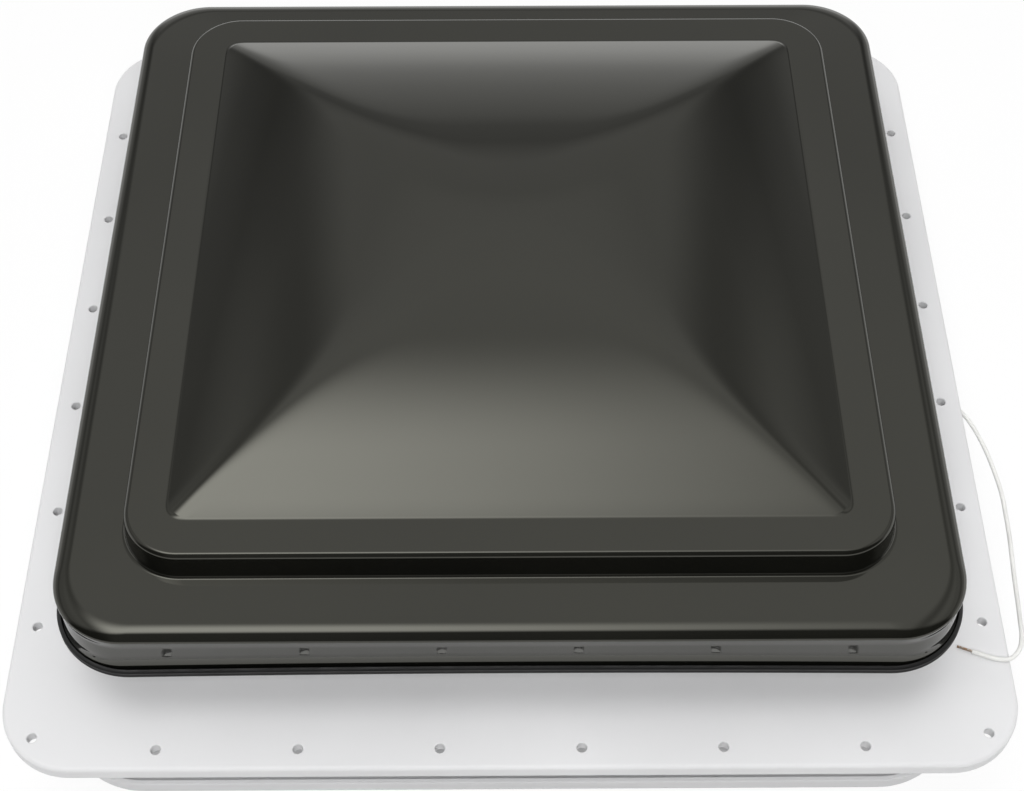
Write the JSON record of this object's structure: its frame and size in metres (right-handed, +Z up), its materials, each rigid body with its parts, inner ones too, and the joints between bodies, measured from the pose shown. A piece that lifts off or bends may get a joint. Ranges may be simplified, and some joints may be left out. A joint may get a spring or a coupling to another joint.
{
  "type": "caravan roof vent",
  "caption": "Square roof vent with a screw-down flange, a hinged smoke-dark lid raised by a worm-driven crank arm, a small fan, an insect screen and a ceiling trim ring.",
  "frame": {"origin": "centre of the flange's underside, in the plane of the roof", "axes": "+Z up out of the roof, +Y to the hinged rear edge of the lid, +X to the side where the supply lead leaves"},
  "size_m": [0.4806, 0.462, 0.1675],
  "materials": {
    "white_plastic": "satin moulded",
    "black_rubber": "matt extruded",
    "plated_steel": "bright zinc plate",
    "grey_plastic": "moulded",
    "mesh_wire": "grey coated wire",
    "black_plastic": "moulded",
    "white_nylon": "moulded",
    "lead_white": "soft insulation",
    "lead_black": "soft insulation",
    "tinned_copper": "tinned",
    "smoke_plastic": "glossy smoke",
    "bronze": "turned"
  },
  "bodies": {
    "base": {"roof_flange": "white_plastic", "curb_gasket": "black_rubber", "hinge_bracket_left": "plated_steel", "hinge_bracket_right": "plated_steel", "hinge_pin_left": "plated_steel", "hinge_pin_right": "plated_steel", "bracket_screws": "plated_steel", "fan_strap": "plated_steel", "strap_screws": "plated_steel", "motor_can": "plated_steel", "motor_end_cap": "grey_plastic", "motor_screws": "plated_steel", "gear_case": "grey_plastic", "case_cover": "grey_plastic", "case_screws": "plated_steel", "cover_screws": "plated_steel", "trim_ring": "white_plastic", "trim_neck": "white_plastic", "screen_ledge": "white_plastic", "trim_screws": "plated_steel", "screen_frame": "white_plastic", "insect_mesh": "mesh_wire", "switch_body": "black_plastic", "lead_grommet": "black_rubber", "supply_lead": "lead_white", "lead_tip": "tinned_copper", "inner_lead": "lead_white", "motor_lead": "lead_black", "wire_clips": "white_nylon"},
    "lid": {"lid_shell": "smoke_plastic", "lid_riser": "smoke_plastic", "lid_skirt": "smoke_plastic", "lid_edge_trim": "black_rubber", "hinge_leaf_left": "plated_steel", "hinge_leaf_right": "plated_steel", "leaf_rivets": "plated_steel", "lid_rail": "plated_steel", "rail_screws": "plated_steel"},
    "arm": {"lift_arm": "plated_steel", "arm_shaft": "plated_steel", "worm_wheel": "bronze", "roller_pin": "plated_steel"},
    "roller": {"arm_roller": "white_nylon"},
    "crank": {"crank_shaft": "plated_steel", "worm": "plated_steel", "crank_handle": "white_nylon", "crank_set_screw": "plated_steel", "knob_pin": "plated_steel"},
    "knob": {"crank_knob": "black_plastic"},
    "fan": {"fan_rotor": "grey_plastic", "motor_shaft": "plated_steel", "fan_nut": "plated_steel"},
    "rocker": {"switch_rocker": "white_nylon"}
  },
  "joints": [
    {"name": "lid_hinge", "type": "hinge", "parent": "base", "child": "lid", "pos_m": [0, 0.2055, 0.045], "axis": [-1, 0, 0], "range_deg": [0, 45]},
    {"name": "arm_swing", "type": "hinge", "parent": "base", "child": "arm", "pos_m": [-0.105, 0.0318, 0.0356], "axis": [-1, 0, 0], "range_deg": [0, 90]},
    {"name": "crank_turn", "type": "hinge", "parent": "base", "child": "crank", "pos_m": [-0.105, 0, 0], "axis": [0, 0, -1], "range_deg": [0, 2160]},
    {"name": "roller_spin", "type": "hinge", "parent": "arm", "child": "roller", "pos_m": [-0.105, -0.13762, 0.07504], "axis": [1, 0, 0], "continuous": true},
    {"name": "knob_spin", "type": "hinge", "parent": "crank", "child": "knob", "pos_m": [-0.105, 0.038, -0.04], "axis": [0, 0, 1], "continuous": true},
    {"name": "fan_spin", "type": "hinge", "parent": "base", "child": "fan", "pos_m": [0, 0, 0.01], "axis": [0, 0, 1], "continuous": true},
    {"name": "rocker_tip", "type": "hinge", "parent": "base", "child": "rocker", "pos_m": [0.138, 0, -0.0265], "axis": [-1, 0, 0], "range_deg": [0, 18]}
  ],
  "couplings": [
    {"joint": "arm_swing", "follows": "lid_hinge", "ratio": 2},
    {"joint": "crank_turn", "follows": "lid_hinge", "ratio": 48}
  ]
}
